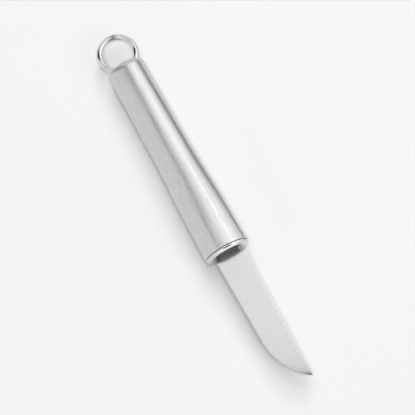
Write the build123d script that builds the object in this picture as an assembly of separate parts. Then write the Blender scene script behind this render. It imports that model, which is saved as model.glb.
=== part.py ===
from build123d import *
import math
import os

# A paring knife with a hollow handle. Sizes are in millimetres.
# +X runs along the handle's axis from the closed end to the blade's tip,
# +Y points to the blade's spine, and +Z is square to the blade.
# The origin is on that axis, at the plug's front face, where the blade comes out.

# Handle tube: a nearly straight grip that flares towards the blade
handle_length = 103.0          # closed end to open mouth
butt_radius = 9.4
waist_radius = 9.73            # where the flare starts
flare_radius = 11.0            # where the flare ends
mouth_radius = 11.2
tube_wall = 0.8
mouth_edge_round = 0.3
flare_start_share = 0.466      # of the handle's length, from the closed end
flare_end_share = 0.816

# End cap: turned, closes the tube, its lip reaches into the tube
cap_depth = 5.0                # closed end to the joint with the tube
cap_corner_round = 3.0
cap_end_wall = 1.2
cap_lip_wall = 0.8
cap_lip_length = 3.0
cap_inner_round = 1.2

# Hanging ring: wire bent round, its two ends enter the cap side by side
wire_diameter = 2.8
ring_mean_diameter = 17.4
ring_offset = 7.0              # ring centre beyond the closed end
ring_leg_spacing = 7.4
ring_leg_bend = 3.0
ring_leg_length = 3.0
ring_hole_clearance = 0.05

# Weld beads: filler metal inside the handle
bead_width = 1.0
bead_height = 1.3
bead_crown = 0.25              # bead left around the wire at its top
bead_shift = 0.25              # the wire still bends outwards where it is welded

# Front plug: solid, polished, pressed into the mouth
plug_nose = 1.8                # stands out of the mouth, beyond the seam
plug_nose_round = 1.7
plug_radius = 11.1
plug_spigot_length = 10.0
plug_spigot_chamfer = 0.8
plug_fit = 0.02                # radial room round the spigot
plug_front_wall = 5.0
plug_recess_radius = 7.6
slot_clearance = 0.06
slot_start_hole_diameter = 2.1

# Seam seal: black bonding bead squeezed out between tube and plug
seam_width = 0.35
seam_sink = 0.25               # the seal lies this far under the tube's surface

# Blade: ground from the spine to the edge, with a narrow final bevel
blade_length = 69.0            # plug face to tip
blade_thickness = 1.3          # at the spine, by the handle
tip_thickness = 0.8            # at the spine, by the tip
spine_height = 8.05            # axis to spine, by the handle
tip_height = 7.0
heel_depth = 7.5               # axis to cutting edge, by the handle
belly_depth = 6.7              # where the edge starts to curve up
belly_start_share = 0.62       # of the blade's length
tip_flat = 0.3                 # height of the blunted end of the tip
edge_thickness = 0.4           # behind the final bevel
edge_land = 0.08
edge_bevel = 0.55
belly_power = 2.0              # shape of the curve up to the tip
belly_root = 1.3
belly_station_shares = [0.15, 0.3, 0.45, 0.6, 0.72, 0.82, 0.9, 0.96, 1.0]

# Neck and tang: narrower than the blade, with a sloping shoulder each side
neck_top = 5.4
neck_bottom = 4.7
shoulder_top_near = 1.0        # distances from the plug face
shoulder_top_far = 2.3
shoulder_bottom_near = 0.2
shoulder_bottom_far = 1.5
tang_length = 17.0             # behind the plug face
tang_corner = 2.0

overrun = 1.0                  # every cut runs this far past what it cuts

# Places worked out from the sizes
mouth_x = -plug_nose - seam_width
closed_end_x = mouth_x - handle_length
cap_joint_x = closed_end_x + cap_depth
flare_start_x = closed_end_x + flare_start_share * handle_length
flare_end_x = closed_end_x + flare_end_share * handle_length
spigot_end_x = mouth_x - plug_spigot_length
wire_radius = wire_diameter / 2
ring_mean_radius = ring_mean_diameter / 2
ring_centre_x = closed_end_x - ring_offset
belly_x = belly_start_share * blade_length


def turned(edges):
    """A solid turned round the handle's axis from its half outline."""
    return revolve(make_face(edges), axis=Axis.X)


def box_between(low, high):
    """A box from its lowest to its highest corner."""
    size = [top - bottom for bottom, top in zip(low, high)]
    return Pos(*low) * Box(*size, align=(Align.MIN, Align.MIN, Align.MIN))


def handle_line(inset):
    """The handle's side from the cap to the mouth, moved inwards by inset."""
    joint = (cap_joint_x, butt_radius - inset)
    waist = (flare_start_x, waist_radius - inset)
    flare = (flare_end_x, flare_radius - inset)
    mouth = (mouth_x, mouth_radius - inset)
    start_way = (waist[0] - joint[0], waist[1] - joint[1])
    end_way = (mouth[0] - flare[0], mouth[1] - flare[1])
    swell = Spline(waist, flare, tangents=(start_way, end_way))
    return [Line(joint, waist), swell, Line(flare, mouth)]


def bore_radius(x):
    """The tube's inner radius between the flare's end and the mouth."""
    share = (x - flare_end_x) / (mouth_x - flare_end_x)
    return flare_radius + (mouth_radius - flare_radius) * share - tube_wall


def handle_tube():
    outer = handle_line(0)
    inner = handle_line(tube_wall)
    mouth = Line((mouth_x, mouth_radius), (mouth_x, mouth_radius - tube_wall))
    joint = Line((cap_joint_x, butt_radius), (cap_joint_x, butt_radius - tube_wall))
    tube = turned(outer + [mouth] + inner + [joint])
    rim = tube.edges().filter_by(GeomType.CIRCLE).group_by(Axis.X)[-1].sort_by(SortBy.RADIUS)[-1]
    return fillet(rim, mouth_edge_round)


def end_cap():
    flat_radius = butt_radius - cap_corner_round
    lip_radius = butt_radius - tube_wall
    cavity_radius = lip_radius - cap_lip_wall
    lip_end_x = cap_joint_x + cap_lip_length
    floor_x = closed_end_x + cap_end_wall
    corner_centre = (closed_end_x + cap_corner_round, flat_radius)
    inner_centre = (floor_x + cap_inner_round, cavity_radius - cap_inner_round)
    outline = [
        Line((closed_end_x, 0), (closed_end_x, flat_radius)),
        CenterArc(corner_centre, cap_corner_round, 90, 90),
        Line((corner_centre[0], butt_radius), (cap_joint_x, butt_radius)),
        Line((cap_joint_x, butt_radius), (cap_joint_x, lip_radius)),
        Line((cap_joint_x, lip_radius), (lip_end_x, lip_radius)),
        Line((lip_end_x, lip_radius), (lip_end_x, cavity_radius)),
        Line((lip_end_x, cavity_radius), (inner_centre[0], cavity_radius)),
        CenterArc(inner_centre, cap_inner_round, 90, 90),
        Line((floor_x, inner_centre[1]), (floor_x, 0)),
        Line((floor_x, 0), (closed_end_x, 0)),
    ]
    return turned(outline) - ring_wire(wire_radius + ring_hole_clearance, overrun)


def ring_wire(radius, longer):
    """Wire along the ring and its two legs; longer lengthens the legs."""
    leg_y = ring_leg_spacing / 2
    bend_sine = (leg_y + ring_leg_bend) / (ring_mean_radius + ring_leg_bend)
    bend_angle = math.degrees(math.asin(bend_sine))
    reach = (ring_mean_radius + ring_leg_bend) * math.cos(math.radians(bend_angle))
    bend_x = ring_centre_x + reach
    bend_y = leg_y + ring_leg_bend
    leg_end_x = bend_x + ring_leg_length + longer
    loop = CenterArc((ring_centre_x, 0), ring_mean_radius, bend_angle, 360 - 2 * bend_angle)
    left_bend = CenterArc((bend_x, bend_y), ring_leg_bend, 180 + bend_angle, 90 - bend_angle)
    right_bend = CenterArc((bend_x, -bend_y), ring_leg_bend, 90, 90 - bend_angle)
    left_leg = Line((bend_x, leg_y), (leg_end_x, leg_y))
    right_leg = Line((bend_x, -leg_y), (leg_end_x, -leg_y))
    path = Wire([left_leg, left_bend, loop, right_bend, right_leg])
    start = Plane(origin=(leg_end_x, leg_y, 0), z_dir=(-1, 0, 0))
    return sweep(start * Circle(radius), path=path)


def ring_welds():
    """A bead round each leg, on the inner face of the cap."""
    floor_x = closed_end_x + cap_end_wall
    foot = wire_radius + bead_width
    top = wire_radius + bead_crown
    place = Plane(origin=(floor_x, ring_leg_spacing / 2 + bead_shift, 0), z_dir=(1, 0, 0))
    cone = Cone(foot, top, bead_height, align=(Align.CENTER, Align.CENTER, Align.MIN))
    bead = place * cone - ring_wire(wire_radius, overrun) - end_cap()
    return [bead, mirror(bead, Plane.XZ)]


def slot_tool():
    """What is cut from the plug for the tang: a slot, and the hole it starts from."""
    thick = blade_thickness / 2 + slot_clearance
    low = (-plug_nose - plug_spigot_length - overrun, -neck_bottom - slot_clearance, -thick)
    high = (overrun, neck_top + slot_clearance, thick)
    hole_radius = slot_start_hole_diameter / 2
    depth = plug_front_wall + 2 * overrun
    hole_plane = Plane(origin=(overrun, -neck_bottom - hole_radius, 0), z_dir=(-1, 0, 0))
    hole = hole_plane * Cylinder(hole_radius, depth, align=(Align.CENTER, Align.CENTER, Align.MIN))
    return box_between(low, high) + hole


def front_plug():
    face_radius = plug_radius - plug_nose_round
    round_centre = (-plug_nose_round, face_radius)
    rear_radius = bore_radius(spigot_end_x) - plug_fit
    front_radius = bore_radius(mouth_x) - plug_fit
    chamfer_x = spigot_end_x + plug_spigot_chamfer
    outline = [
        Line((0, 0), (0, face_radius)),
        CenterArc(round_centre, plug_nose_round, 0, 90),
        Line((-plug_nose_round, plug_radius), (-plug_nose, plug_radius)),
        Line((-plug_nose, plug_radius), (-plug_nose, front_radius)),
        Line((-plug_nose, front_radius), (mouth_x, front_radius)),
        Line((mouth_x, front_radius), (chamfer_x, rear_radius)),
        Line((chamfer_x, rear_radius), (spigot_end_x, rear_radius - plug_spigot_chamfer)),
        Line((spigot_end_x, rear_radius - plug_spigot_chamfer), (spigot_end_x, plug_recess_radius)),
        Line((spigot_end_x, plug_recess_radius), (-plug_front_wall, plug_recess_radius)),
        Line((-plug_front_wall, plug_recess_radius), (-plug_front_wall, 0)),
        Line((-plug_front_wall, 0), (0, 0)),
    ]
    return turned(outline) - slot_tool()


def seam_seal():
    inner_radius = bore_radius(mouth_x) - plug_fit
    outer_radius = plug_radius - seam_sink
    outline = Polyline(
        (mouth_x, inner_radius),
        (mouth_x, outer_radius),
        (-plug_nose, outer_radius),
        (-plug_nose, inner_radius),
        close=True,
    )
    return turned([outline])


def spine_y(x):
    """The spine falls in a straight line from the handle to the tip."""
    return spine_height + (tip_height - spine_height) * x / blade_length


def belly_edge_y(x):
    """The cutting edge's place where it curves up to the tip."""
    share = (x - belly_x) / (blade_length - belly_x)
    rise = 1 - (1 - share ** belly_power) ** (1 / belly_root)
    return -belly_depth + rise * (tip_height - tip_flat + belly_depth)


def blade_section(x, low_y, spine_half):
    """The blade's section at x: spine, two ground sides and the final bevel."""
    high_y = spine_y(x)
    bevel_y = low_y + min(edge_bevel, (high_y - low_y) / 2)
    half = [(high_y, spine_half), (bevel_y, edge_thickness / 2), (low_y, edge_land / 2)]
    mirrored = [(y, -z) for y, z in reversed(half)]
    return Face(Wire.make_polygon([(x, y, z) for y, z in half + mirrored], close=True))


def straight_blade():
    """The blade up to its belly, with flat ground sides, cut along the sloping spine."""
    root = blade_section(0, -heel_depth, blade_thickness / 2)
    way = Vector(belly_x, heel_depth - belly_depth, 0)
    bar = extrude(root, way.length, dir=way)
    top_y = spine_height + overrun + heel_depth - belly_depth
    above_spine = [(0, spine_height), (belly_x, spine_y(belly_x)), (belly_x, top_y), (0, top_y)]
    return bar - extrude(make_face(Polyline(*above_spine, close=True)), blade_thickness, both=True)


def belly_blade():
    """The blade from its belly to the tip, thinner towards the tip."""
    grind_slope = (blade_thickness - edge_thickness) / (spine_height + heel_depth - edge_bevel)
    drop = spine_height - spine_y(belly_x) + heel_depth - belly_depth
    start_half = (blade_thickness - grind_slope * drop) / 2
    sections = [blade_section(belly_x, -belly_depth, start_half)]
    for share in belly_station_shares:
        x = belly_x + share * (blade_length - belly_x)
        spine_half = start_half + (tip_thickness / 2 - start_half) * share
        sections.append(blade_section(x, belly_edge_y(x), spine_half))
    return loft(sections)


def corner_cut(side):
    """What is cut beside the neck, on the spine's side or the edge's."""
    neck = neck_top if side > 0 else neck_bottom
    near = shoulder_top_near if side > 0 else shoulder_bottom_near
    far = shoulder_top_far if side > 0 else shoulder_bottom_far
    blade_side = spine_height if side > 0 else heel_depth
    slope = (far - near) / (blade_side - neck)
    outer_y = blade_side + overrun
    outer_x = near + slope * (outer_y - neck)
    points = [(0, side * neck), (near, side * neck), (outer_x, side * outer_y), (0, side * outer_y)]
    return extrude(make_face(Polyline(*points, close=True)), blade_thickness, both=True)


def tang():
    """The unground strip behind the blade, through the plug, with cut rear corners."""
    rear_x = -tang_length
    points = [
        (0, -neck_bottom),
        (rear_x + tang_corner, -neck_bottom),
        (rear_x, tang_corner - neck_bottom),
        (rear_x, neck_top - tang_corner),
        (rear_x + tang_corner, neck_top),
        (0, neck_top),
    ]
    return extrude(make_face(Polyline(*points, close=True)), blade_thickness / 2, both=True)


def blade():
    ground = straight_blade() - corner_cut(1) - corner_cut(-1)
    return tang() + ground + belly_blade()


def tang_welds():
    """A bead along each side of the tang, in the corner with the plug's recess."""
    bead_low = -neck_bottom + tang_corner
    bead_high = neck_top - tang_corner
    beads = []
    for side in (1, -1):
        corner = (-plug_front_wall, bead_low, 0)
        along = (-plug_front_wall - bead_height, bead_low, side * blade_thickness / 2)
        up = (-plug_front_wall, bead_low, side * (blade_thickness / 2 + bead_height))
        back = (-plug_front_wall - bead_height, bead_low, 0)
        outline = Face(Wire.make_polygon([corner, up, along, back], close=True))
        beads.append(extrude(outline, bead_high - bead_low, dir=(0, 1, 0)) - blade())
    return beads


def main():
    nodes = {
        "handle_tube": handle_tube(),
        "end_cap": end_cap(),
        "hanging_ring": ring_wire(wire_radius, 0),
        "ring_welds": Compound(children=ring_welds()),
        "front_plug": front_plug(),
        "seam_seal": seam_seal(),
        "blade": blade(),
        "tang_welds": Compound(children=tang_welds()),
    }
    os.makedirs("parts", exist_ok=True)
    for name, shape in nodes.items():
        export_step(shape, f"parts/{name}.step")


main()
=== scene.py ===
import bmesh
import bpy
import math
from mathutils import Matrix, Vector


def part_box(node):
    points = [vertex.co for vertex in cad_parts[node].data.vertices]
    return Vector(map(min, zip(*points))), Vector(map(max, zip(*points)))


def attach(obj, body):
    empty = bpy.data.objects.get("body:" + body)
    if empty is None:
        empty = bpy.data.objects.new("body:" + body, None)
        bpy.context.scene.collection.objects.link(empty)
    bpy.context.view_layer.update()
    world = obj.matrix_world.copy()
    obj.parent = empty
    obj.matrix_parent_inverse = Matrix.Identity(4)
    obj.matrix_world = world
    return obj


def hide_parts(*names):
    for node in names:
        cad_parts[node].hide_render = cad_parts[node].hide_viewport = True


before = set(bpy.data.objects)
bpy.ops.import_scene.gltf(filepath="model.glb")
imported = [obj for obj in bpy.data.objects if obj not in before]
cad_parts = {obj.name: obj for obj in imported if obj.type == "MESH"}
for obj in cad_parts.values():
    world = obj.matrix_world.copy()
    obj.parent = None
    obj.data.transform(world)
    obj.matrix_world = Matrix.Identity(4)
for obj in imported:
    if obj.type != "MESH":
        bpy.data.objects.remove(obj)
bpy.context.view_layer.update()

mm = 0.001
body = "root"
print("frame loaded:", len(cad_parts), "nodes")

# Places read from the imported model. +X runs to the blade's tip, +Y to its spine.
tubeLow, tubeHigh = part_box("handle_tube")
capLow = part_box("end_cap")[0]


# Small helpers for objects and node trees
def addObject(name, data):
    obj = bpy.data.objects.new(name, data)
    bpy.context.scene.collection.objects.link(obj)
    return obj


def feedNode(tree, node, values):
    for name, value in values.items():                     # a socket is linked, anything else is set
        if isinstance(value, bpy.types.NodeSocket):
            tree.links.new(value, node.inputs[name])
        else:
            node.inputs[name].default_value = value


def addNode(tree, kind, settings=None, values=None):
    node = tree.nodes.new(kind)
    for name, value in (settings or {}).items():
        setattr(node, name, value)
    feedNode(tree, node, values or {})
    return node


def mathNode(tree, operation, *values, clamp=False):
    settings = {"operation": operation, "use_clamp": clamp}
    return addNode(tree, "ShaderNodeMath", settings, dict(enumerate(values))).outputs[0]


def vectorNode(tree, operation, *values):
    return addNode(tree, "ShaderNodeVectorMath", {"operation": operation}, dict(enumerate(values))).outputs


def combine(tree, x=0.0, y=0.0, z=0.0):
    return addNode(tree, "ShaderNodeCombineXYZ", None, {"X": x, "Y": y, "Z": z}).outputs["Vector"]


def split(tree, place):
    parts = addNode(tree, "ShaderNodeSeparateXYZ", None, {"Vector": place}).outputs
    return parts["X"], parts["Y"], parts["Z"]


def mapRange(tree, value, fromEnds, toEnds=(0.0, 1.0), kind="SMOOTHSTEP"):
    node = addNode(tree, "ShaderNodeMapRange", {"interpolation_type": kind}, {
        "Value": value,
        "From Min": fromEnds[0],
        "From Max": fromEnds[1],
        "To Min": toEnds[0],
        "To Max": toEnds[1],
    })
    return node.outputs["Result"]


def mixLevels(tree, factor, low, high):
    return mathNode(tree, "MULTIPLY_ADD", factor, high - low, low)


def addMask(tree, value, mask, amount):
    return mathNode(tree, "MULTIPLY_ADD", mask, amount, value)


def fromMiddle(tree, value):                               # noise and lines lie round one half
    return mathNode(tree, "SUBTRACT", value, 0.5)


def bellCurve(tree, ratio):
    square = mathNode(tree, "POWER", ratio, 2.0)
    return mathNode(tree, "EXPONENT", mathNode(tree, "MULTIPLY", square, -1.0))


def newSocket(tree, name, kind, way="INPUT", value=None):
    socket = tree.interface.new_socket(name=name, in_out=way, socket_type=kind)
    if value is not None:
        socket.default_value = value


# The camera stands at the photograph's angle
cameraPlan = {
    "target": (-24.8 * mm, 1.8 * mm, 0),
    "turn": math.radians(28.1),      # from +X towards -Y
    "rise": math.radians(73.6),
    "distance": 1.2,
    "fieldWidth": 194.5 * mm,        # what the picture spans at the target
    "sensor": 36,
    "clip": (0.05, 20),
}


def makeCamera(plan):
    data = bpy.data.cameras.new("camera")
    data.sensor_width = plan["sensor"]
    data.lens = plan["sensor"] * plan["distance"] / plan["fieldWidth"]
    data.clip_start, data.clip_end = plan["clip"]
    camera = addObject("camera", data)
    flat = math.cos(plan["rise"])
    back = Vector((flat * math.cos(plan["turn"]), -flat * math.sin(plan["turn"]), math.sin(plan["rise"])))
    camera.location = Vector(plan["target"]) + back * plan["distance"]
    camera.rotation_mode = "QUATERNION"
    camera.rotation_quaternion = (-back).to_track_quat("-Z", "Y")
    bpy.context.scene.camera = camera


makeCamera(cameraPlan)
print("camera placed")


# Shader groups that several finishes share
grainPlan = {
    "layers": ((1.0, 0.6), (3.1, 0.4)),      # how much finer each layer is, and its share
    "detail": 2.0,
    "range": (0.3, 0.7),             # the noise between these is spread over 0 to 1
}


def makeGrainGroup(plan):
    tree = bpy.data.node_groups.new("grainLines", "ShaderNodeTree")
    newSocket(tree, "Place", "NodeSocketVector")           # its X runs along the lines
    newSocket(tree, "Spacing", "NodeSocketFloat", value=0.1 * mm)
    newSocket(tree, "Length", "NodeSocketFloat", value=30 * mm)
    newSocket(tree, "Seed", "NodeSocketFloat")
    newSocket(tree, "Lines", "NodeSocketFloat", "OUTPUT")
    given = addNode(tree, "NodeGroupInput").outputs
    x, y, z = split(tree, given["Place"])
    along = mathNode(tree, "DIVIDE", x, given["Length"])
    layers = []
    for finer, share in plan["layers"]:
        spacing = mathNode(tree, "DIVIDE", given["Spacing"], finer)
        across = [mathNode(tree, "DIVIDE", way, spacing) for way in (y, z)]
        noise = addNode(tree, "ShaderNodeTexNoise", {"noise_dimensions": "4D"}, {
            "Vector": combine(tree, along, *across),
            "W": given["Seed"],
            "Scale": 1.0,
            "Detail": plan["detail"],
        })
        layers.append(mathNode(tree, "MULTIPLY", noise.outputs["Fac"], share))
    lines = mapRange(tree, mathNode(tree, "ADD", *layers), plan["range"], kind="LINEAR")
    addNode(tree, "NodeGroupOutput", None, {"Lines": lines})
    return tree


handPlan = {
    "smudge": {"Scale": 1.0, "Detail": 3.0, "Distortion": 0.5},
    "smudgeRange": (0.42, 0.68),
    "scratch": {"Scale": 0.9, "Detail": 0.0, "Distortion": 1.2},
    "scratchWidth": 0.006,           # scratches run where the noise crosses its middle
    "scratchSeed": 7.0,
}


def makeHandGroup(plan):
    tree = bpy.data.node_groups.new("handMarks", "ShaderNodeTree")
    newSocket(tree, "Place", "NodeSocketVector")
    newSocket(tree, "Size", "NodeSocketFloat", value=12 * mm)
    newSocket(tree, "Seed", "NodeSocketFloat")
    newSocket(tree, "Smudge", "NodeSocketFloat", "OUTPUT")
    newSocket(tree, "Scratch", "NodeSocketFloat", "OUTPUT")
    given = addNode(tree, "NodeGroupInput").outputs
    place = vectorNode(tree, "DIVIDE", given["Place"], given["Size"])["Vector"]
    cloud = addNode(tree, "ShaderNodeTexNoise", {"noise_dimensions": "4D"}, {
        "Vector": place, "W": given["Seed"], **plan["smudge"],
    })
    hair = addNode(tree, "ShaderNodeTexNoise", {"noise_dimensions": "4D"}, {
        "Vector": place, "W": mathNode(tree, "ADD", given["Seed"], plan["scratchSeed"]), **plan["scratch"],
    })
    offset = mathNode(tree, "ABSOLUTE", fromMiddle(tree, hair.outputs["Fac"]))
    addNode(tree, "NodeGroupOutput", None, {
        "Smudge": mapRange(tree, cloud.outputs["Fac"], plan["smudgeRange"]),
        "Scratch": mapRange(tree, offset, (0.0, plan["scratchWidth"]), (1.0, 0.0)),
    })
    return tree


edgePlan = {
    "patch": {"Scale": 400.0, "Detail": 2.0},        # wear is uneven along the edge
    "patchRange": (0.3, 0.6),
    "patchLevels": (0.35, 1.0),
}


def makeEdgeGroup(plan):
    tree = bpy.data.node_groups.new("edgeShine", "ShaderNodeTree")
    newSocket(tree, "Offset", "NodeSocketFloat")           # distance from the worn edge
    newSocket(tree, "Width", "NodeSocketFloat", value=0.5 * mm)
    newSocket(tree, "Place", "NodeSocketVector")
    newSocket(tree, "Mask", "NodeSocketFloat", "OUTPUT")
    given = addNode(tree, "NodeGroupInput").outputs
    ratio = mathNode(tree, "DIVIDE", given["Offset"], given["Width"])
    patches = addNode(tree, "ShaderNodeTexNoise", None, {"Vector": given["Place"], **plan["patch"]})
    uneven = mapRange(tree, patches.outputs["Fac"], plan["patchRange"], plan["patchLevels"], "LINEAR")
    mask = mathNode(tree, "MULTIPLY", bellCurve(tree, ratio), uneven)
    addNode(tree, "NodeGroupOutput", None, {"Mask": mask})
    return tree


grainGroup = makeGrainGroup(grainPlan)
handGroup = makeHandGroup(handPlan)
edgeGroup = makeEdgeGroup(edgePlan)


# Steps that every finish takes
def newMaterial(name, values):
    material = bpy.data.materials.new(name)
    material.use_nodes = True
    tree = material.node_tree
    feedNode(tree, tree.nodes["Principled BSDF"], values)
    return material, tree


def objectPlace(tree):
    return addNode(tree, "ShaderNodeTexCoord").outputs["Object"]


def placeGroup(tree, group, values):
    return addNode(tree, "ShaderNodeGroup", {"node_tree": group}, values).outputs


def lineLevel(tree, plan, lines):
    return mixLevels(tree, lines, plan["level"] - plan["lineShade"], plan["level"] + plan["lineShade"])


def grayColor(tree, plan, level):
    shares = dict(zip(("Red", "Green", "Blue"), plan["tint"]))
    tinted = {name: mathNode(tree, "MULTIPLY", level, share) for name, share in shares.items()}
    return addNode(tree, "ShaderNodeCombineColor", None, tinted).outputs["Color"]


def mixTint(tree, factor, first, second):
    return addNode(tree, "ShaderNodeMix", {"data_type": "RGBA"}, {
        "Factor": factor, "A": (*first, 1), "B": (*second, 1),
    }).outputs["Result"]


def finishSurface(tree, plan, color, rough, height):
    bump = addNode(tree, "ShaderNodeBump", None, {
        "Distance": plan["bumpDistance"], "Strength": plan["bumpStrength"], "Height": height,
    })
    feedNode(tree, tree.nodes["Principled BSDF"], {
        "Base Color": color, "Roughness": rough, "Normal": bump.outputs["Normal"],
    })


# Drawn and brushed steel of the handle: fine lines along it, smoother at the mouth's edge
brushedPlan = {
    "level": 0.632,
    "tint": (1.0, 1.0, 0.992),
    "lineShade": 0.05,
    "spacing": 0.16 * mm,
    "lineLength": 8 * mm,
    "cloudSize": 1.5 * mm,           # faint unevenness of the brushing, drawn out along the handle
    "cloudStretch": 6.0,
    "cloudShade": 0.03,
    "markSize": 14 * mm,
    "scratchShade": 0.03,
    "rimShade": 0.06,
    "rimSmoother": 0.08,
    "roughness": (0.17, 0.23),
    "smudgeRoughness": 0.035,
    "rimWidth": 0.45 * mm,
    "cornerFade": (3.2 * mm, 1.92 * mm),     # the cap's corner is ground by hand, so it is duller
    "cornerRoughness": 0.30,
    "bumpDistance": 0.004 * mm,
    "bumpStrength": 0.35,
}


def makeBrushed(plan):
    material, tree = newMaterial("brushedHandle", {"Metallic": 1})
    place = objectPlace(tree)
    x, y, z = split(tree, place)
    grain = placeGroup(tree, grainGroup, {
        "Place": place, "Spacing": plan["spacing"], "Length": plan["lineLength"],
    })
    marks = placeGroup(tree, handGroup, {"Place": place, "Size": plan["markSize"], "Seed": 2.0})
    cloudPlace = combine(tree, mathNode(tree, "DIVIDE", x, plan["cloudStretch"]), y, z)
    cloud = placeGroup(tree, handGroup, {"Place": cloudPlace, "Size": plan["cloudSize"], "Seed": 4.0})
    rimOffset = mathNode(tree, "SUBTRACT", x, tubeHigh.x)
    rim = placeGroup(tree, edgeGroup, {"Place": place, "Offset": rimOffset, "Width": plan["rimWidth"]})
    level = lineLevel(tree, plan, grain["Lines"])
    level = addMask(tree, level, marks["Scratch"], -plan["scratchShade"])
    level = addMask(tree, level, rim["Mask"], plan["rimShade"])
    level = addMask(tree, level, cloud["Smudge"], -plan["cloudShade"])
    rough = mixLevels(tree, grain["Lines"], *plan["roughness"])
    rough = addMask(tree, rough, marks["Smudge"], plan["smudgeRoughness"])
    rough = addMask(tree, rough, rim["Mask"], -plan["rimSmoother"])
    corner = mapRange(tree, x, [capLow.x + depth for depth in plan["cornerFade"]])
    rough = addMask(tree, rough, corner, plan["cornerRoughness"])
    finishSurface(tree, plan, grayColor(tree, plan, level), rough, grain["Lines"])
    return material


# Polished steel of the plug: turned, so its faint marks run round the axis
plugFinish = {
    "level": 0.66,
    "tint": (1.0, 1.0, 0.995),
    "spacing": 0.09 * mm,
    "lineShade": 0.012,
    "markSize": 7 * mm,
    "scratchShade": 0.04,
    "roughness": (0.02, 0.04),
    "smudgeRoughness": 0.03,
    "edgePlace": -1.8 * mm,          # the rear edge is rubbed bright
    "edgeWidth": 0.15 * mm,
    "edgeShade": 0.08,
    "cutDepth": 0.25 * mm,           # the slot, its hole and the recess are left as cut and rougher; painted shade darkens them
    "cutRadius": 9.9 * mm,
    "recessShadeShare": 0.12,
    "cutRoughness": 0.4,
    "bumpDistance": 0.0015 * mm,
    "bumpStrength": 0.3,
}


def makePolished(plan):
    material, tree = newMaterial("polishedPlug", {"Metallic": 1})
    place = objectPlace(tree)
    x, y, z = split(tree, place)
    radius = vectorNode(tree, "LENGTH", combine(tree, 0.0, y, z))["Value"]
    turned = combine(tree, 0.0, radius, x)
    grain = placeGroup(tree, grainGroup, {"Place": turned, "Spacing": plan["spacing"], "Seed": 3.0})
    marks = placeGroup(tree, handGroup, {"Place": place, "Size": plan["markSize"], "Seed": 5.0})
    edgeOffset = mathNode(tree, "SUBTRACT", x, plan["edgePlace"])
    edge = placeGroup(tree, edgeGroup, {"Place": place, "Offset": edgeOffset, "Width": plan["edgeWidth"]})
    deep = mathNode(tree, "LESS_THAN", x, -plan["cutDepth"])
    cut = mathNode(tree, "MULTIPLY", deep, mathNode(tree, "LESS_THAN", radius, plan["cutRadius"]))
    level = lineLevel(tree, plan, grain["Lines"])
    level = addMask(tree, level, marks["Scratch"], -plan["scratchShade"])
    level = addMask(tree, level, edge["Mask"], plan["edgeShade"])
    # painted shade: the surfaces inside the slot, its hole and the recess are darkened to near black
    level = mathNode(tree, "MULTIPLY", level, mixLevels(tree, cut, 1.0, plan["recessShadeShare"]))
    rough = mixLevels(tree, grain["Lines"], *plan["roughness"])
    rough = addMask(tree, rough, marks["Smudge"], plan["smudgeRoughness"])
    rough = addMask(tree, rough, cut, plan["cutRoughness"])
    finishSurface(tree, plan, grayColor(tree, plan, level), rough, grain["Lines"])
    return material


# Polished wire: faint drawing lines along the ring, rubbed duller where it hangs
wireFinish = {
    "level": 0.68,
    "tint": (1.0, 1.0, 0.995),
    "spacing": 0.12 * mm,
    "lineShade": 0.015,
    "markSize": 4 * mm,
    "scratchShade": 0.05,
    "roughness": (0.02, 0.04),
    "rubRange": (-2 * mm, -9 * mm),          # from the ring's centre
    "rubRoughness": 0.04,
    "darkSpotPlace": (-120.7 * mm, 1.7 * mm, 1.3 * mm),      # a dark spot at the ring's far side
    "darkSpotSize": 1.4 * mm,
    "darkSpotShade": 0.42,
    "ringCentre": -112.15 * mm,
    "bumpDistance": 0.002 * mm,
    "bumpStrength": 0.3,
}


def makeWire(plan):
    material, tree = newMaterial("polishedWire", {"Metallic": 1})
    place = objectPlace(tree)
    x, y, z = split(tree, place)
    fromCentre = mathNode(tree, "SUBTRACT", x, plan["ringCentre"])
    radius = vectorNode(tree, "LENGTH", combine(tree, fromCentre, y))["Value"]
    bent = combine(tree, 0.0, radius, z)
    grain = placeGroup(tree, grainGroup, {"Place": bent, "Spacing": plan["spacing"], "Seed": 6.0})
    marks = placeGroup(tree, handGroup, {"Place": place, "Size": plan["markSize"], "Seed": 8.0})
    rubbed = mathNode(tree, "MULTIPLY", mapRange(tree, fromCentre, plan["rubRange"]), marks["Smudge"])
    darkSpotOffset = vectorNode(tree, "DISTANCE", place, plan["darkSpotPlace"])["Value"]
    darkSpot = placeGroup(tree, edgeGroup, {"Place": place, "Offset": darkSpotOffset, "Width": plan["darkSpotSize"]})
    level = lineLevel(tree, plan, grain["Lines"])
    level = addMask(tree, level, marks["Scratch"], -plan["scratchShade"])
    # the wire is darker in one spot at the ring's far side
    level = addMask(tree, level, darkSpot["Mask"], -plan["darkSpotShade"])
    rough = mixLevels(tree, grain["Lines"], *plan["roughness"])
    rough = addMask(tree, rough, rubbed, plan["rubRoughness"])
    finishSurface(tree, plan, grayColor(tree, plan, level), rough, grain["Lines"])
    return material


# Ground steel of the blade: grinding lines from spine to edge, a lighter band under the spine
groundPlan = {
    "level": 0.612,
    "tint": (1.0, 1.0, 0.996),
    "lineShade": 0.045,
    "spacing": 0.10 * mm,
    "lineLength": 14 * mm,
    "roughness": (0.15, 0.20),
    "smudgeRoughness": 0.03,
    "spineY": 8.05 * mm,             # at the plug, and how it falls along the blade
    "spineFall": -0.01522,
    "bandWidth": 1.1 * mm,
    "bandShade": 0.04,
    "broadSpacing": 1.1 * mm,        # wider bands along the grinding
    "broadLength": 40 * mm,
    "broadShade": 0.042,
    "markSize": 16 * mm,
    "scratchShade": 0.03,
    "bumpDistance": 0.002 * mm,
    "bumpStrength": 0.3,
}


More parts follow.
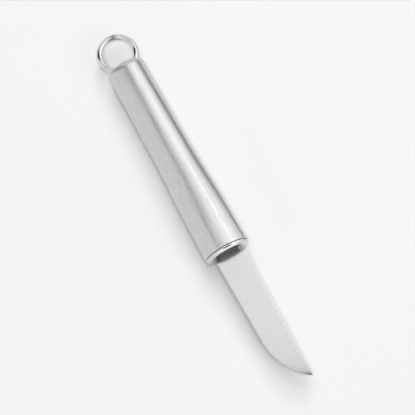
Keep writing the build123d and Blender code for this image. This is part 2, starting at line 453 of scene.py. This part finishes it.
def makeGround(plan):
    material, tree = newMaterial("groundBlade", {"Metallic": 1})
    place = objectPlace(tree)
    x, y = split(tree, place)[:2]
    crossPlace = combine(tree, y, x)
    grain = placeGroup(tree, grainGroup, {
        "Place": crossPlace, "Spacing": plan["spacing"], "Length": plan["lineLength"], "Seed": 11.0,
    })
    broad = placeGroup(tree, grainGroup, {
        "Place": crossPlace, "Spacing": plan["broadSpacing"], "Length": plan["broadLength"], "Seed": 12.0,
    })
    marks = placeGroup(tree, handGroup, {"Place": place, "Size": plan["markSize"], "Seed": 13.0})
    spine = mathNode(tree, "MULTIPLY_ADD", x, plan["spineFall"], plan["spineY"])
    band = placeGroup(tree, edgeGroup, {
        "Place": place, "Offset": mathNode(tree, "SUBTRACT", spine, y), "Width": plan["bandWidth"],
    })
    level = lineLevel(tree, plan, grain["Lines"])
    level = addMask(tree, level, fromMiddle(tree, broad["Lines"]), plan["broadShade"])
    level = addMask(tree, level, band["Mask"], plan["bandShade"])
    level = addMask(tree, level, marks["Scratch"], -plan["scratchShade"])
    rough = mixLevels(tree, grain["Lines"], *plan["roughness"])
    rough = addMask(tree, rough, marks["Smudge"], plan["smudgeRoughness"])
    finishSurface(tree, plan, grayColor(tree, plan, level), rough, grain["Lines"])
    return material


# Weld metal: rippled, a little heat tinted
weldPlan = {
    "cool": (0.45, 0.43, 0.41),
    "warm": (0.40, 0.31, 0.20),
    "roughness": (0.38, 0.60),
    "spacing": 0.22 * mm,
    "markSize": 1.2 * mm,
    "bumpDistance": 0.05 * mm,
    "bumpStrength": 0.6,
}


def makeWeld(plan):
    material, tree = newMaterial("weldMetal", {"Metallic": 1})
    place = objectPlace(tree)
    across = combine(tree, 0.0, *split(tree, place)[1:])
    ripple = placeGroup(tree, grainGroup, {"Place": across, "Spacing": plan["spacing"], "Seed": 17.0})
    marks = placeGroup(tree, handGroup, {"Place": place, "Size": plan["markSize"], "Seed": 18.0})
    color = mixTint(tree, marks["Smudge"], plan["cool"], plan["warm"])
    rough = mixLevels(tree, ripple["Lines"], *plan["roughness"])
    finishSurface(tree, plan, color, rough, ripple["Lines"])
    return material


# Black bonding bead in the seam: matt, slightly uneven
sealFinish = {
    "dark": (0.006, 0.006, 0.0065),
    "dusty": (0.022, 0.021, 0.020),
    "roughness": (0.50, 0.75),
    "specular": 0.2,
    "markSize": 0.9 * mm,
    "bumpDistance": 0.03 * mm,
    "bumpStrength": 0.5,
}


def makeSealant(plan):
    material, tree = newMaterial("blackSeal", {"Specular IOR Level": plan["specular"]})
    marks = placeGroup(tree, handGroup, {
        "Place": objectPlace(tree), "Size": plan["markSize"], "Seed": 21.0,
    })
    color = mixTint(tree, marks["Smudge"], plan["dark"], plan["dusty"])
    rough = mixLevels(tree, marks["Smudge"], *plan["roughness"])
    finishSurface(tree, plan, color, rough, marks["Smudge"])
    return material


brushed = makeBrushed(brushedPlan)
polished = makePolished(plugFinish)
wire = makeWire(wireFinish)
ground = makeGround(groundPlan)
weld = makeWeld(weldPlan)
seal = makeSealant(sealFinish)
print("finishes made")


# Node trees that shape the turned pieces and the wire
treePlan = {
    "core": 1 * mm,                  # radius of the circle that carries a turned piece's outline
    "merge": 0.001 * mm,             # closes the poles on the axis
}


def endShapeTree(tree, given, shape):
    smooth = addNode(tree, "GeometryNodeSetShadeSmooth", None, {"Geometry": shape})
    real = addNode(tree, "GeometryNodeRealizeInstances", None, {"Geometry": smooth.outputs["Geometry"]})
    finish = addNode(tree, "GeometryNodeSetMaterial", None, {
        "Geometry": real.outputs["Geometry"], "Material": given["Material"],
    })
    addNode(tree, "NodeGroupOutput", None, {"Geometry": finish.outputs["Geometry"]})


def makeTurnTree(plan):
    tree = bpy.data.node_groups.new("turnedPiece", "GeometryNodeTree")
    newSocket(tree, "Geometry", "NodeSocketGeometry")
    newSocket(tree, "Round Steps", "NodeSocketInt", value=6)
    newSocket(tree, "Turn Steps", "NodeSocketInt", value=160)
    newSocket(tree, "Material", "NodeSocketMaterial")
    newSocket(tree, "Geometry", "NodeSocketGeometry", "OUTPUT")
    given = addNode(tree, "NodeGroupInput").outputs
    outline = addNode(tree, "GeometryNodeMeshToCurve", None, {"Mesh": given["Geometry"]})
    cornerRound = addNode(tree, "GeometryNodeInputNamedAttribute", {"data_type": "FLOAT"}, {"Name": "round"})
    fillet = addNode(tree, "GeometryNodeFilletCurve", {"mode": "POLY"}, {
        "Curve": outline.outputs["Curve"],
        "Count": given["Round Steps"],
        "Radius": cornerRound.outputs["Attribute"],
        "Limit Radius": True,
    })
    x, y = split(tree, addNode(tree, "GeometryNodeInputPosition").outputs["Position"])[:2]
    laid = addNode(tree, "GeometryNodeSetPosition", None, {
        "Geometry": fillet.outputs["Curve"],
        "Position": combine(tree, mathNode(tree, "SUBTRACT", y, plan["core"]), x),
    })
    circle = addNode(tree, "GeometryNodeCurvePrimitiveCircle", None, {
        "Resolution": given["Turn Steps"], "Radius": plan["core"],
    })
    turned = addNode(tree, "GeometryNodeCurveToMesh", None, {
        "Curve": circle.outputs["Curve"], "Profile Curve": laid.outputs["Geometry"],
    })
    upright = addNode(tree, "GeometryNodeTransform", None, {
        "Geometry": turned.outputs["Mesh"], "Rotation": (0, -math.pi / 2, 0),
    })
    merged = addNode(tree, "GeometryNodeMergeByDistance", None, {
        "Geometry": upright.outputs["Geometry"], "Distance": plan["merge"],
    })
    endShapeTree(tree, given, merged.outputs["Geometry"])
    return tree


def makeWireTree():
    tree = bpy.data.node_groups.new("bentWire", "GeometryNodeTree")
    newSocket(tree, "Geometry", "NodeSocketGeometry")
    newSocket(tree, "Wire Radius", "NodeSocketFloat", value=1.4 * mm)
    newSocket(tree, "Wire Steps", "NodeSocketInt", value=40)
    newSocket(tree, "Material", "NodeSocketMaterial")
    newSocket(tree, "Geometry", "NodeSocketGeometry", "OUTPUT")
    given = addNode(tree, "NodeGroupInput").outputs
    path = addNode(tree, "GeometryNodeMeshToCurve", None, {"Mesh": given["Geometry"]})
    circle = addNode(tree, "GeometryNodeCurvePrimitiveCircle", None, {
        "Radius": given["Wire Radius"], "Resolution": given["Wire Steps"],
    })
    swept = addNode(tree, "GeometryNodeCurveToMesh", None, {
        "Curve": path.outputs["Curve"], "Profile Curve": circle.outputs["Curve"], "Fill Caps": True,
    })
    endShapeTree(tree, given, swept.outputs["Mesh"])
    return tree


turnTree = makeTurnTree(treePlan)
wireTree = makeWireTree()


def lineMesh(name, points, closed):
    mesh = bpy.data.meshes.new(name)
    count = len(points)
    edges = [(i, (i + 1) % count) for i in range(count if closed else count - 1)]
    mesh.from_pydata([(point[0] * mm, point[1] * mm, 0) for point in points], edges, [])
    return mesh


def outlineMesh(name, points, closed):                     # a point's third number rounds its corner
    mesh = lineMesh(name, points, closed)
    rounds = mesh.attributes.new("round", "FLOAT", "POINT")
    rounds.data.foreach_set("value", [point[2] * mm if len(point) > 2 else 0 for point in points])
    return mesh


def asPlainMesh(holder):
    bpy.context.view_layer.update()
    evaluated = holder.evaluated_get(bpy.context.evaluated_depsgraph_get())
    shape = bpy.data.meshes.new_from_object(evaluated)
    bpy.data.objects.remove(holder)
    return shape


def shapeByTree(base, tree, values):
    holder = addObject("holder", base)
    modifier = holder.modifiers.new("shape", "NODES")
    modifier.node_group = tree
    for item in tree.interface.items_tree:
        if item.in_out == "INPUT" and item.name in values:
            modifier[item.identifier] = values[item.name]
    return asPlainMesh(holder)


def cutByMesh(base, cutter):
    holder = addObject("holder", base)
    tool = addObject("cutter", cutter)
    modifier = holder.modifiers.new("cut", "BOOLEAN")
    modifier.operation = "DIFFERENCE"
    modifier.solver = "EXACT"
    modifier.object = tool
    shape = asPlainMesh(holder)
    bpy.data.objects.remove(tool)
    return shape


def closeMesh(shape):
    touching = 1e-4 * mm                                   # points nearer than this are one
    work = bmesh.new()
    work.from_mesh(shape)
    bmesh.ops.remove_doubles(work, verts=work.verts, dist=touching)
    bmesh.ops.dissolve_degenerate(work, edges=work.edges, dist=touching)
    bmesh.ops.recalc_face_normals(work, faces=work.faces)
    work.to_mesh(shape)
    work.free()


def finishShape(shape, plan):
    closeMesh(shape)
    if "round" in shape.attributes:
        shape.attributes.remove(shape.attributes["round"])
    shape.shade_smooth()
    shape.set_sharp_from_angle(angle=plan["sharpAngle"])


def makePiece(name, shape, node):
    shape.name = name
    piece = addObject(name, shape)
    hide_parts(node)
    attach(piece, body)
    print(name + ":", len(shape.polygons), "faces")


# Handle tube: a nearly straight grip that swells towards the blade. Pieces are planned in millimetres.
tubePlan = {
    "joint": (-100.15, 9.4),         # its place along the axis, and its radius
    "waist": (-57.152, 9.73),
    "flare": (-21.102, 11.0),
    "mouth": (-2.15, 11.2),
    "wall": 0.8,
    "mouthRound": 0.3,
    "swellSteps": 36,
    "roundSteps": 6,
    "turnSteps": 180,
    "sharpAngle": math.radians(32),
}


def swellPoint(plan, share):                               # a curve that meets both straight ends smoothly
    startX, startRadius = plan["waist"]
    endX, endRadius = plan["flare"]
    length = endX - startX
    startRise = (startRadius - plan["joint"][1]) / (startX - plan["joint"][0]) * length
    endRise = (plan["mouth"][1] - endRadius) / (plan["mouth"][0] - endX) * length
    square, cube = share ** 2, share ** 3
    radius = (2 * cube - 3 * square + 1) * startRadius + (3 * square - 2 * cube) * endRadius
    radius += (cube - 2 * square + share) * startRise + (cube - square) * endRise
    return startX + share * length, radius


def makeTube(plan):
    steps = plan["swellSteps"]
    side = [plan["joint"]] + [swellPoint(plan, i / steps) for i in range(steps + 1)]
    mouthX, mouthRadius = plan["mouth"]
    outer = side + [(mouthX, mouthRadius, plan["mouthRound"])]
    inner = [(x, radius - plan["wall"]) for x, radius in reversed(side + [plan["mouth"]])]
    shape = shapeByTree(outlineMesh("tubeOutline", outer + inner, True), turnTree, {
        "Round Steps": plan["roundSteps"],
        "Turn Steps": plan["turnSteps"],
        "Material": brushed,
    })
    finishShape(shape, plan)
    makePiece("handleTube", shape, "handle_tube")


makeTube(tubePlan)


# Front plug: solid, with the blade's slot and the hole that the slot was started from
plugPlan = {
    "nose": 1.8,                     # length of the part in front of the tube
    "noseRound": 1.7,
    "rearEdgeRound": 0.08,
    "holdingRing": 0.06,             # keeps the flat face shading flat up to its round
    "radius": 11.1,
    "spigotFront": (-2.15, 10.38),
    "spigotRear": (-12.15, 10.274),
    "spigotChamfer": 0.8,
    "frontWall": 5.0,
    "recessRadius": 7.6,
    "slotTop": 5.46,                 # towards the spine
    "slotBottom": -4.76,
    "slotHalf": 0.71,                # half its width
    "holeRadius": 1.05,
    "holeCentre": -5.75,
    "holeSteps": 40,
    "slotOverrun": 1.0,
    "roundSteps": 12,
    "turnSteps": 180,
    "sharpAngle": math.radians(32),
}


def slotCutter(plan):
    start = math.acos((plan["slotBottom"] - plan["holeCentre"]) / plan["holeRadius"])
    steps = plan["holeSteps"]
    angles = [start + (2 * math.pi - 2 * start) * i / steps for i in range(steps + 1)]
    outline = [(plan["slotBottom"], plan["slotHalf"])]
    for angle in angles:
        across = plan["holeRadius"] * math.sin(angle)
        outline.append((plan["holeCentre"] + plan["holeRadius"] * math.cos(angle), across))
    half = plan["slotHalf"]
    outline += [(plan["slotBottom"], -half), (plan["slotTop"], -half), (plan["slotTop"], half)]
    rear, front = plan["spigotRear"][0] - plan["slotOverrun"], plan["slotOverrun"]
    count = len(outline)
    points = [(x * mm, y * mm, z * mm) for x in (rear, front) for y, z in outline]
    faces = [list(range(count)), list(range(2 * count - 1, count - 1, -1))]
    faces += [(i, (i + 1) % count, count + (i + 1) % count, count + i) for i in range(count)]
    mesh = bpy.data.meshes.new("slotCutter")
    mesh.from_pydata(points, [], faces)
    closeMesh(mesh)
    return mesh


def makePlug(plan):
    radius, nose, noseRound = plan["radius"], plan["nose"], plan["noseRound"]
    frontX, frontRadius = plan["spigotFront"]
    rearX, rearRadius = plan["spigotRear"]
    chamfer = plan["spigotChamfer"]
    outline = [
        (0, 0),
        (0, radius - noseRound - plan["holdingRing"]),
        (0, radius, noseRound),
        (-nose, radius, plan["rearEdgeRound"]),
        (-nose, frontRadius),
        (frontX, frontRadius),
        (rearX + chamfer, rearRadius),
        (rearX, rearRadius - chamfer),
        (rearX, plan["recessRadius"]),
        (-plan["frontWall"], plan["recessRadius"]),
        (-plan["frontWall"], 0),
    ]
    shape = shapeByTree(outlineMesh("plugOutline", outline, False), turnTree, {
        "Round Steps": plan["roundSteps"],
        "Turn Steps": plan["turnSteps"],
        "Material": polished,
    })
    finishShape(shape, plan)
    shape = cutByMesh(shape, slotCutter(plan))
    finishShape(shape, plan)
    makePiece("frontPlug", shape, "front_plug")


makePlug(plugPlan)


# Seam seal: a thin black bead, its surface drawn in between the two metals
sealPlan = {
    "front": -1.8,
    "rear": -2.15,
    "inner": 10.38,
    "outer": 10.85,
    "sag": 0.08,                     # how far its surface is drawn in
    "sagSteps": 6,
    "turnSteps": 180,
    "sharpAngle": math.radians(40),
}


def makeSeal(plan):
    width = plan["front"] - plan["rear"]
    outline = [(plan["rear"], plan["inner"])]
    for i in range(plan["sagSteps"] + 1):
        share = i / plan["sagSteps"]
        sag = plan["sag"] * 4 * share * (1 - share)
        outline.append((plan["rear"] + width * share, plan["outer"] - sag))
    outline.append((plan["front"], plan["inner"]))
    shape = shapeByTree(outlineMesh("sealOutline", outline, True), turnTree, {
        "Turn Steps": plan["turnSteps"],
        "Material": seal,
    })
    finishShape(shape, plan)
    makePiece("seamSeal", shape, "seam_seal")


makeSeal(sealPlan)


# Hanging ring: wire bent round, its two legs reach into the cap
ringPlan = {
    "centre": -112.15,
    "meanRadius": 8.7,               # to the middle of the wire
    "legSpacing": 7.4,
    "legBend": 3.0,                  # radius of the bend between the ring and a leg
    "legLength": 3.0,
    "wireRadius": 1.4,
    "arcStep": math.radians(3),
    "bendSteps": 12,
    "wireSteps": 40,
    "sharpAngle": math.radians(40),
}


def onCircle(centreX, centreY, radius, angle):
    return centreX + radius * math.cos(angle), centreY + radius * math.sin(angle)


def ringPath(plan):
    legY = plan["legSpacing"] / 2
    bendY = legY + plan["legBend"]
    reach = plan["meanRadius"] + plan["legBend"]
    bendAngle = math.asin(bendY / reach)
    bendX = plan["centre"] + reach * math.cos(bendAngle)
    half = [(bendX + plan["legLength"], legY), (bendX + plan["legLength"] / 2, legY)]
    for i in range(plan["bendSteps"]):
        angle = 1.5 * math.pi - (math.pi / 2 - bendAngle) * i / plan["bendSteps"]
        half.append(onCircle(bendX, bendY, plan["legBend"], angle))
    steps = math.ceil((math.pi - bendAngle) / plan["arcStep"])
    for i in range(steps + 1):
        angle = bendAngle + (math.pi - bendAngle) * i / steps
        half.append(onCircle(plan["centre"], 0, plan["meanRadius"], angle))
    return half + [(x, -y) for x, y in reversed(half[:-1])]


def makeRing(plan):
    shape = shapeByTree(lineMesh("ringPath", ringPath(plan), False), wireTree, {
        "Wire Radius": plan["wireRadius"] * mm,
        "Wire Steps": plan["wireSteps"],
        "Material": wire,
    })
    finishShape(shape, plan)
    makePiece("hangingRing", shape, "hanging_ring")


makeRing(ringPlan)


# Blade: ground from the spine to the edge, a narrow final bevel, a neck and a tang
bladePlan = {
    "length": 69.0,
    "spineHeight": 8.05,             # above the axis at the plug, and then at the tip
    "tipHeight": 7.0,
    "heelDepth": 7.5,                # below the axis at the plug, and then where the belly starts
    "bellyDepth": 6.7,
    "bellyStart": 42.78,
    "bellyPowers": (2.0, 1.3),       # how the edge curves up to the tip
    "tipFlat": 0.3,
    "rootHalf": 0.65,                # half the spine's thickness at the plug
    "bellyHalf": 0.6065,             # where the belly starts
    "tipHalf": 0.4,
    "bevelHalf": 0.2,                # half the thickness at the top of the final bevel
    "landHalf": 0.04,                # and at the edge itself
    "bevelHeight": 0.55,
    "spineRound": 0.12,
    "roundLimitShare": 0.8,          # of half the thickness
    "neckTop": 5.4,
    "neckBottom": -4.7,
    "shoulderTop": (1.0, 2.3),       # where it starts and ends along the blade
    "shoulderBottom": (0.2, 1.5),
    "tangRear": -17.0,
    "tangCorner": 2.0,
    "tangMiddle": -8.0,
    "behindFace": -1e-6,             # the grinding starts at the plug's face
    "heelRun": 0.26,                 # where the edge's bevel comes out of the shoulder
    "heelShares": (0.25, 0.5, 0.75, 1.0),
    "straightStart": 3.0,
    "straightSteps": 30,
    "bellySteps": 40,
    "flankRows": 10,                 # rows between the bevel and the spine
    "spineSteps": 8,
    "sharpAngle": math.radians(12),
}


def spineAt(plan, x):
    return plan["spineHeight"] + (plan["tipHeight"] - plan["spineHeight"]) * x / plan["length"]


def bellyShare(plan, x):
    return (x - plan["bellyStart"]) / (plan["length"] - plan["bellyStart"])


def edgeAt(plan, x):
    if x <= plan["bellyStart"]:
        return -plan["heelDepth"] + (plan["heelDepth"] - plan["bellyDepth"]) * x / plan["bellyStart"]
    along, up = plan["bellyPowers"]
    rise = 1 - (1 - min(bellyShare(plan, x), 1) ** along) ** (1 / up)
    return -plan["bellyDepth"] + rise * (plan["tipHeight"] - plan["tipFlat"] + plan["bellyDepth"])


def bevelTop(plan, low, top):
    return low + min(plan["bevelHeight"], (top - low) / 2)


def halfAt(plan, x, y):
    if x < 0:
        return plan["rootHalf"]                            # the tang isn't ground
    low = edgeAt(plan, x)
    if x <= plan["bellyStart"]:
        top, topHalf = low + plan["spineHeight"] + plan["heelDepth"], plan["rootHalf"]
    else:
        top = spineAt(plan, x)
        topHalf = plan["bellyHalf"] + (plan["tipHalf"] - plan["bellyHalf"]) * bellyShare(plan, x)
    bevel = bevelTop(plan, low, top)
    if y >= bevel:
        return plan["bevelHalf"] + (topHalf - plan["bevelHalf"]) * (y - bevel) / (top - bevel)
    return plan["landHalf"] + (plan["bevelHalf"] - plan["landHalf"]) * max(y - low, 0) / (bevel - low)


def alongSlope(x, span, near, far):
    share = min(max((x - span[0]) / (span[1] - span[0]), 0), 1)
    return near + (far - near) * share


def bladeSection(plan, x):
    if x < 0:                                              # tang, with its rear corners cut
        cut = max(plan["tangRear"] + plan["tangCorner"] - x, 0)
        top, bottom = plan["neckTop"] - cut, plan["neckBottom"] + cut
        bevel = bottom
    else:
        top = alongSlope(x, plan["shoulderTop"], plan["neckTop"], spineAt(plan, x))
        bottom = alongSlope(x, plan["shoulderBottom"], plan["neckBottom"], edgeAt(plan, x))
        bevel = max(bevelTop(plan, edgeAt(plan, x), top), bottom)
    tight = min(plan["spineRound"], (top - bevel) / 2, halfAt(plan, x, top) * plan["roundLimitShare"])
    side = [(bottom, halfAt(plan, x, bottom)), (bevel, halfAt(plan, x, bevel))]
    for i in range(1, plan["flankRows"] + 1):
        y = bevel + (top - tight - bevel) * i / plan["flankRows"]
        side.append((y, halfAt(plan, x, y)))
    shoulderHalf = side[-1][1]
    for i in range(1, plan["spineSteps"] + 1):
        angle = math.pi / 2 * i / plan["spineSteps"]
        side.append((top - tight + tight * math.sin(angle), shoulderHalf - tight + tight * math.cos(angle)))
    loop = side + [(y, -z) for y, z in reversed(side)]
    return [(x * mm, y * mm, z * mm) for y, z in loop]


def bladeStations(plan):
    belly, length = plan["bellyStart"], plan["length"]
    start, steps = plan["straightStart"], plan["straightSteps"]
    stations = [plan["tangRear"], plan["tangRear"] + plan["tangCorner"], plan["tangMiddle"]]
    stations += [plan["behindFace"], 0.0, *plan["shoulderBottom"], *plan["shoulderTop"]]
    stations += [plan["shoulderBottom"][1] - plan["heelRun"] * share for share in plan["heelShares"]]
    stations += [start + (belly - start) * i / steps for i in range(steps + 1)]
    for i in range(1, plan["bellySteps"] + 1):
        stations.append(belly + (length - belly) * math.sin(math.pi / 2 * i / plan["bellySteps"]))
    return sorted(stations)


def makeBlade(plan):
    work = bmesh.new()
    loops = [[work.verts.new(point) for point in bladeSection(plan, x)] for x in bladeStations(plan)]
    count = len(loops[0])
    for near, far in zip(loops, loops[1:]):
        for i in range(count):
            j = (i + 1) % count
            work.faces.new((near[i], near[j], far[j], far[i]))
    work.faces.new(loops[0])
    work.faces.new(list(reversed(loops[-1])))
    shape = bpy.data.meshes.new("blade")
    work.to_mesh(shape)
    work.free()
    shape.materials.append(ground)
    finishShape(shape, plan)
    makePiece("bladeBody", shape, "blade")


makeBlade(bladePlan)


# Pieces whose solids are right stay, with a better finish
keptFinishes = {
    "end_cap": brushed,
    "ring_welds": weld,
    "tang_welds": weld,
}

for node, material in keptFinishes.items():
    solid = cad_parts[node].data
    solid.materials.clear()
    solid.materials.append(material)
print("finishes put on:", ", ".join(keptFinishes))


# The floor touches the flared mouth and the closed end, so it leans by one degree
floorPlan = {
    "half": 6.0,
    "gap": 0.02 * mm,
    "restInset": 3 * mm,             # how far in from the closed end's face it touches
    "color": (0.90, 0.90, 0.90),
    "roughness": 0.6,
}


def addSheet(name, points, faces, material):
    mesh = bpy.data.meshes.new(name)
    mesh.from_pydata(points, [], faces)
    mesh.materials.append(material)
    return addObject(name, mesh)


def squareCorners(half):
    return (-half, -half), (half, -half), (half, half), (-half, half)


def makeFloor(plan):
    slope = (capLow.z - tubeLow.z) / (capLow.x + plan["restInset"] - tubeHigh.x)
    base = tubeLow.z - plan["gap"]
    corners = [(x, y, base + slope * (x - tubeHigh.x)) for x, y in squareCorners(plan["half"])]
    material = newMaterial("paleFloor", {
        "Base Color": (*plan["color"], 1), "Roughness": plan["roughness"],
    })[0]
    floor = addSheet("floor", corners, [(0, 1, 2, 3)], material)


makeFloor(floorPlan)
print("floor laid")


# Studio light: a white surround, four soft lamps, and a light tent and a flag that only gloss sees
worldPlan = {
    "seen": 1.0,                     # what the camera and reflections see past the tent
    "fill": 0.16,                    # what lights the floor from all round
}

# The way to each lamp, and its part of the light on the floor
lampPlans = {
    "keySoft": {"from": (0.25, -0.12, 1.0), "distance": 8.0, "size": 2.6, "floorShare": 0.43},
    "topSoft": {"from": (-0.35, 0.05, 1.0), "distance": 4.0, "size": 2.0, "floorShare": 0.20},
    "sideSoft": {"from": (-0.80, 0.45, 1.0), "distance": 4.0, "size": 1.8, "floorShare": 0.15},
    "tipSoft": {"from": (1.00, 0.55, 1.0), "distance": 8.0, "size": 4.0, "floorShare": 0.085},
}

# A box of light round the knife, in metres. Its ceiling is two sheets that meet in a seam.
tentPlan = {
    "half": 0.25,
    "height": 0.30,
    "wall": 0.90,
    "darkest": 0.03,                 # no place of it gets darker
    "steelShare": 0.08,              # how much of it the steel throws on the floor
    "seamPoint": (-0.175, -0.095),   # the sheets are darkest there
    "seamSlope": -2.36,
    "seamWidth": 0.020,
    "ridge": 0.10,                   # where the far sheet is lightest
    "shortestReach": 0.05,
    "fadeShares": (0.75, 0.98),      # of the height, where the walls pass into the ceiling
    "levels": {"near": 0.90, "seam": 0.40, "far": 1.33},
    "patches": {                     # place, soft radius, and how much lighter or darker
        "cameraSide": ((0.160, 0.02, 0.30), (0.108, 0.14, 0.12), -1.8),
        "cameraLens": ((0.080, 0.045, 0.30), (0.030, 0.06, 0.08), -1.0),
        "frontWall": ((0.25, 0.0, 0.14), (0.05, 0.30, 0.16), 0.5),
        "darkCorner": ((-0.25, -0.15, 0.13), (0.03, 0.085, 0.18), -1.1),
        "darkTop": ((-0.245, -0.08, 0.30), (0.025, 0.07, 0.05), -1.1),
        "wallTop": ((-0.05, 0.25, 0.19), (0.30, 0.10, 0.15), 0.42),
        "lowDark": ((-0.26, 0.25, 0.02), (0.15, 0.10, 0.12), -0.50),
    },
}


def makeWorld(plan):
    world = bpy.data.worlds.new("studio")
    world.use_nodes = True
    bpy.context.scene.world = world
    tree = world.node_tree
    path = addNode(tree, "ShaderNodeLightPath").outputs
    seen = mathNode(tree, "MAXIMUM", path["Is Camera Ray"], path["Is Glossy Ray"])
    seen = mathNode(tree, "MAXIMUM", seen, path["Is Transmission Ray"])
    strength = mixLevels(tree, seen, plan["fill"], plan["seen"])
    feedNode(tree, tree.nodes["Background"], {"Color": (1, 1, 1, 1), "Strength": strength})


def makeLamp(name, plan):
    data = bpy.data.lights.new(name, "AREA")
    data.shape = "DISK"
    data.size = plan["size"]
    way = Vector(plan["from"]).normalized()
    data.energy = math.pi ** 2 * plan["floorShare"] * plan["distance"] ** 2 / way.z
    lamp = addObject(name, data)
    lamp.location = way * plan["distance"]
    lamp.rotation_mode = "QUATERNION"
    lamp.rotation_quaternion = way.to_track_quat("Z", "Y")
    lamp.visible_glossy = False                            # the tent stands in for it on the steel
    lamp.visible_camera = False


def makePatchGroup():                                      # a patch of the tent, lighter or darker
    tree = bpy.data.node_groups.new("lightPatch", "ShaderNodeTree")
    newSocket(tree, "Place", "NodeSocketVector")
    newSocket(tree, "Centre", "NodeSocketVector")
    newSocket(tree, "Size", "NodeSocketVector", value=(0.1, 0.1, 0.1))
    newSocket(tree, "Amount", "NodeSocketFloat", value=1.0)
    newSocket(tree, "Value", "NodeSocketFloat", "OUTPUT")
    given = addNode(tree, "NodeGroupInput").outputs
    offset = vectorNode(tree, "SUBTRACT", given["Place"], given["Centre"])["Vector"]
    scaled = vectorNode(tree, "DIVIDE", offset, given["Size"])["Vector"]
    square = vectorNode(tree, "DOT_PRODUCT", scaled, scaled)["Value"]
    value = mathNode(tree, "MULTIPLY", bellCurve(tree, square), given["Amount"])
    addNode(tree, "NodeGroupOutput", None, {"Value": value})
    return tree


def newGlow(name):
    material = bpy.data.materials.new(name)
    material.use_nodes = True
    tree = material.node_tree
    tree.nodes.clear()
    glow = addNode(tree, "ShaderNodeEmission")
    addNode(tree, "ShaderNodeOutputMaterial", None, {"Surface": glow.outputs[0]})
    return material, tree, glow


def onlyGlossSees(card):
    for way in ("camera", "diffuse", "transmission", "shadow", "volume_scatter"):
        setattr(card, "visible_" + way, False)


def ceilingLevel(tree, plan, x, y):
    levels = plan["levels"]
    seamX, seamY = plan["seamPoint"]
    seam = mathNode(tree, "MULTIPLY_ADD", x, plan["seamSlope"], seamY - plan["seamSlope"] * seamX)
    past = mathNode(tree, "SUBTRACT", y, seam)
    reach = mathNode(tree, "SUBTRACT", plan["ridge"], seam)
    reach = mathNode(tree, "MAXIMUM", reach, plan["shortestReach"])
    share = mathNode(tree, "DIVIDE", past, reach, clamp=True)
    far = mixLevels(tree, share, levels["seam"], levels["far"])
    dip = bellCurve(tree, mathNode(tree, "DIVIDE", past, plan["seamWidth"]))
    near = mixLevels(tree, dip, levels["near"], levels["seam"])
    isFar = mathNode(tree, "GREATER_THAN", past, 0.0)
    ceiling = addNode(tree, "ShaderNodeMix", {"data_type": "FLOAT"}, {"Factor": isFar, "A": near, "B": far})
    return ceiling.outputs["Result"]


def makeTent(plan):
    points = [(x, y, z) for z in (tubeLow.z, plan["height"]) for x, y in squareCorners(plan["half"])]
    faces = [(4, 5, 6, 7)] + [(i, (i + 1) % 4, 4 + (i + 1) % 4, 4 + i) for i in range(4)]
    material, tree, glow = newGlow("tentLight")
    place = objectPlace(tree)
    x, y, z = split(tree, place)
    up = mapRange(tree, z, [plan["height"] * share for share in plan["fadeShares"]])
    rise = mathNode(tree, "SUBTRACT", ceilingLevel(tree, plan, x, y), plan["wall"])
    level = mathNode(tree, "MULTIPLY_ADD", up, rise, plan["wall"])
    group = makePatchGroup()
    for name, (centre, size, amount) in plan["patches"].items():
        patch = addNode(tree, "ShaderNodeGroup", {"node_tree": group, "label": name}, {
            "Place": place, "Centre": centre, "Size": size, "Amount": amount,
        })
        level = mathNode(tree, "ADD", level, patch.outputs["Value"])
    level = mathNode(tree, "MAXIMUM", level, plan["darkest"])
    bounced = addNode(tree, "ShaderNodeLightPath").outputs["Diffuse Depth"]
    bounced = mathNode(tree, "MINIMUM", bounced, 1.0)
    level = mathNode(tree, "MULTIPLY", level, mixLevels(tree, bounced, 1.0, plan["steelShare"]))
    feedNode(tree, glow, {"Strength": level})
    onlyGlossSees(addSheet("lightTent", points, faces, material))


# A low gray card beside the handle's spine side, which darkens its reflection there
flagPlan = {
    "mouthEnd": (0.0, 0.036, -0.0115),
    "buttEnd": (-0.16, 0.050, 0.019),
    "height": 0.018,
    "level": 0.42,
}


def makeFlag(plan):
    ends = [Vector(plan["mouthEnd"]), Vector(plan["buttEnd"])]
    lift = Vector((0, 0, plan["height"] / 2))
    points = [ends[0] - lift, ends[1] - lift, ends[1] + lift, ends[0] + lift]
    material, tree, glow = newGlow("flagShade")
    feedNode(tree, glow, {"Strength": plan["level"]})
    onlyGlossSees(addSheet("lowFlag", points, [(0, 1, 2, 3)], material))


makeWorld(worldPlan)
for name, plan in lampPlans.items():
    makeLamp(name, plan)
makeTent(tentPlan)
makeFlag(flagPlan)
print("studio lit")
bpy.context.scene.view_settings.view_transform = "Standard"
